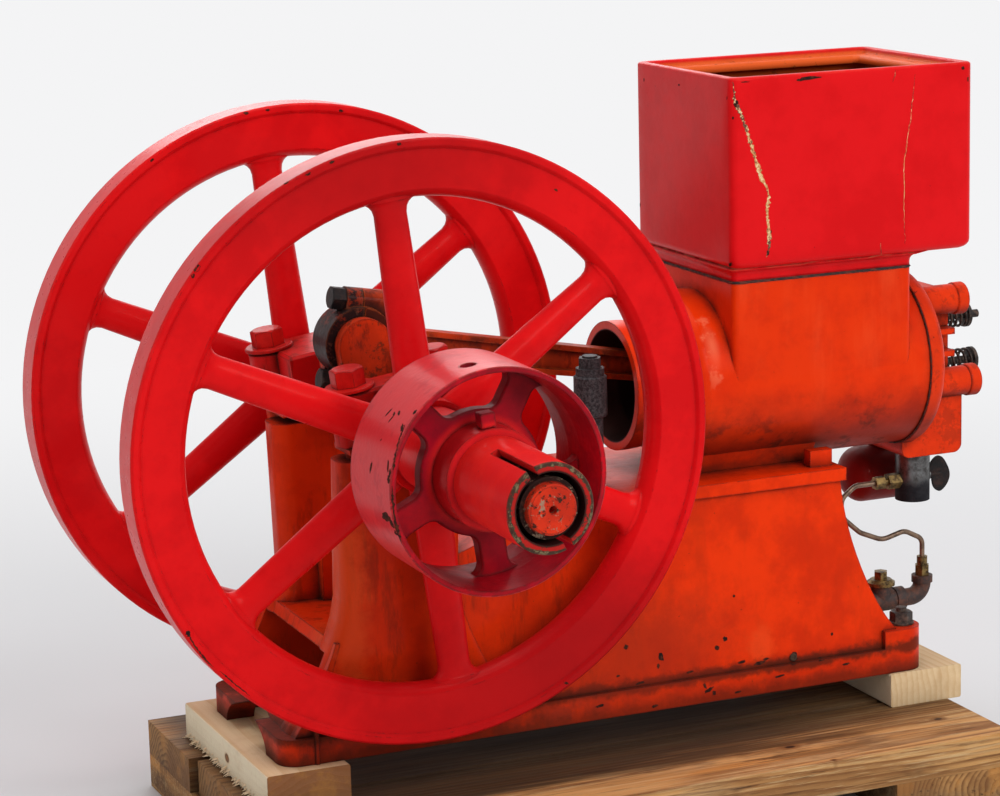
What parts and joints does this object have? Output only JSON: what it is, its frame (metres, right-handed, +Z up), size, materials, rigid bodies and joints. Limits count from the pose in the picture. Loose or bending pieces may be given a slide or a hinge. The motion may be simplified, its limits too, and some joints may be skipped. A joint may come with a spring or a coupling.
{
  "type": "hit-and-miss engine",
  "caption": "Stationary single-cylinder engine with open crank, spoked flywheels, belt pulley, water hopper and mixer, on a timber stand.",
  "frame": {"origin": "on the floor, at the middle of the stand's underside", "axes": "+X from the crankshaft toward the cylinder head, -Y toward the belt pulley, +Z up"},
  "size_m": [1.051, 0.7425, 0.778],
  "materials": {
    "deck_wood": "weathered brown boards",
    "bearer_wood": "stained rough timber",
    "pale_wood": "fresh sawn lumber",
    "engine_paint": "orange-red paint over cast iron, grimy",
    "red_paint": "red paint, chipped",
    "wheel_paint": "bright red gloss paint",
    "pulley_paint": "worn red paint",
    "hopper_paint": "deep red gloss paint, scratched",
    "dark_red_paint": "dark red paint",
    "dark_steel": "dark oily steel",
    "worn_steel": "worn oily steel",
    "brass": "tarnished brass",
    "gasket": "dark gasket sheet"
  },
  "bodies": {
    "engine": {"deck_boards": "deck_wood", "bearers": "bearer_wood", "block_left": "pale_wood", "block_right": "pale_wood", "base_casting": "engine_paint", "hold_down_bolts": "dark_steel", "near_bearing_cap": "red_paint", "far_bearing_cap": "red_paint", "near_cap_bolts": "red_paint", "far_cap_bolts": "red_paint", "crank_throw": "worn_steel", "connecting_rod": "engine_paint", "big_end_cap": "dark_steel", "rod_bolts": "dark_steel", "piston": "worn_steel", "wrist_pin": "worn_steel", "cylinder_casting": "engine_paint", "hopper_gasket": "gasket", "hopper": "hopper_paint", "cylinder_head": "engine_paint", "upper_valve_stem": "worn_steel", "lower_valve_stem": "worn_steel", "upper_valve_spring": "dark_steel", "lower_valve_spring": "dark_steel", "upper_retainer": "dark_steel", "lower_retainer": "dark_steel", "mixer_pipe": "worn_steel", "mixer_fittings": "brass", "fuel_tube": "brass", "fuel_tee": "dark_steel", "brass_plug": "brass", "tube_nut": "brass", "oil_cup": "dark_steel", "exhaust_pot": "dark_red_paint"},
    "flywheel_set": {"near_shaft": "worn_steel", "far_shaft": "worn_steel", "near_flywheel": "wheel_paint", "far_flywheel": "wheel_paint", "belt_pulley": "pulley_paint", "set_screw": "pulley_paint", "crank_sleeve": "red_paint", "shaft_ring": "red_paint"},
    "choke": {"choke_handle": "dark_steel"}
  },
  "joints": [
    {"name": "crankshaft_turn", "type": "hinge", "parent": "engine", "child": "flywheel_set", "pos_m": [-0.2195, 0.016, 0.444], "axis": [0, 1, 0], "continuous": true},
    {"name": "choke_turn", "type": "hinge", "parent": "engine", "child": "choke", "pos_m": [0.461, 0.016, 0.3005], "axis": [1, 0, 0], "range_deg": [-90, 0]}
  ]
}
